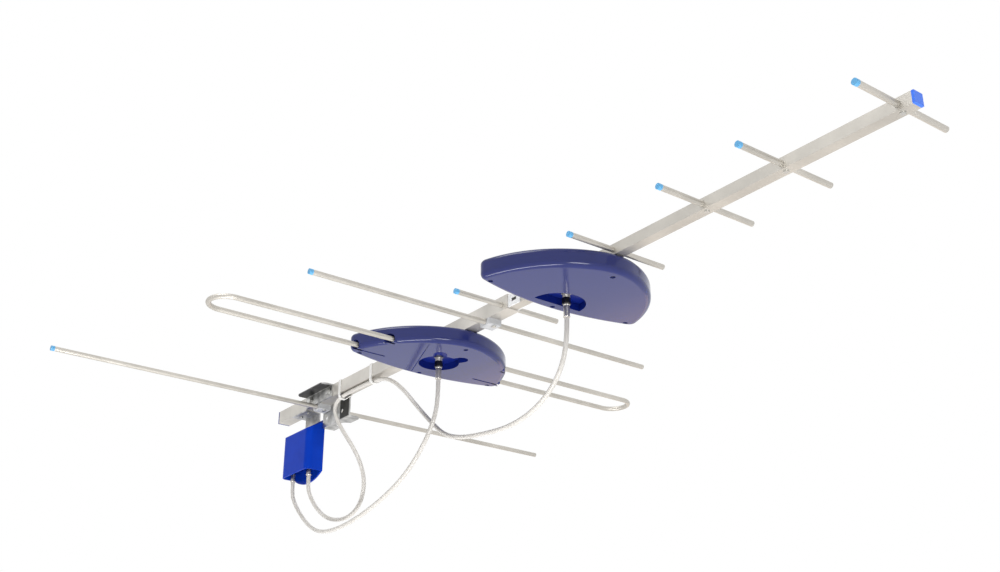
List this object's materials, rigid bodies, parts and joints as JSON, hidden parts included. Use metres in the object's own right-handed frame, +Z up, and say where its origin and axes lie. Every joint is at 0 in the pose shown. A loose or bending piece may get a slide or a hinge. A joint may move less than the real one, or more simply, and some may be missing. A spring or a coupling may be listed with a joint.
{
  "type": "terrestrial tv antenna",
  "caption": "Combined VHF and UHF rod antenna on a square boom, with leaf-shaped dipole casings, a mast clamp, a combiner box and coaxial leads.",
  "frame": {"origin": "on the axis of the vertical mast that the clamp seats, at the height of the rear boom's axis", "axes": "+X along the boom to the front of the antenna, +Z up along the mast, +Y to the mast side of the boom"},
  "size_m": [1.237, 0.8608, 0.2366],
  "materials": {
    "tube_aluminium": "satin",
    "case_blue": "gloss",
    "box_blue": "satin",
    "cap_blue": "satin",
    "liner_white": "satin",
    "saddle_grey": "satin",
    "clamp_steel": "zinc plated",
    "fixing_steel": "zinc plated",
    "plug_nickel": "dull nickel",
    "lead_white": "satin sheath",
    "tie_white": "satin",
    "board_green": "matte"
  },
  "bodies": {
    "root": {"rear_boom": "tube_aluminium", "front_boom": "tube_aluminium", "uhf_director_first": "tube_aluminium", "uhf_director_second": "tube_aluminium", "uhf_director_third": "tube_aluminium", "uhf_director_fourth": "tube_aluminium", "uhf_reflector": "tube_aluminium", "vhf_director": "tube_aluminium", "vhf_reflector": "tube_aluminium", "dipole_left_loop": "tube_aluminium", "dipole_right_loop": "tube_aluminium", "uhf_dipole": "tube_aluminium", "uhf_case_base": "case_blue", "uhf_case_cover": "case_blue", "vhf_case_base": "case_blue", "vhf_case_cover": "case_blue", "box_cover": "box_blue", "box_backplate": "box_blue", "boom_rear_cap": "box_blue", "rod_end_caps": "cap_blue", "boom_front_cap": "cap_blue", "boom_insert": "liner_white", "reflector_saddle": "saddle_grey", "director_saddle": "saddle_grey", "mast_channel": "clamp_steel", "backing_channel": "clamp_steel", "box_bracket": "clamp_steel", "director_rivets": "fixing_steel", "saddle_screws": "fixing_steel", "case_screws": "fixing_steel", "case_boom_screws": "fixing_steel", "dipole_screws": "fixing_steel", "clamp_bolts": "fixing_steel", "clamp_nuts": "fixing_steel", "bracket_screws": "fixing_steel", "box_screws": "fixing_steel", "uhf_case_socket": "plug_nickel", "vhf_case_socket": "plug_nickel", "uhf_box_socket": "plug_nickel", "vhf_box_socket": "plug_nickel", "output_socket": "plug_nickel", "uhf_case_plug": "plug_nickel", "vhf_case_plug": "plug_nickel", "uhf_box_plug": "plug_nickel", "vhf_box_plug": "plug_nickel", "uhf_lead": "lead_white", "vhf_lead": "lead_white", "lead_ties": "tie_white", "uhf_balun_board": "board_green", "vhf_balun_board": "board_green", "box_board": "board_green"}
  },
  "joints": []
}
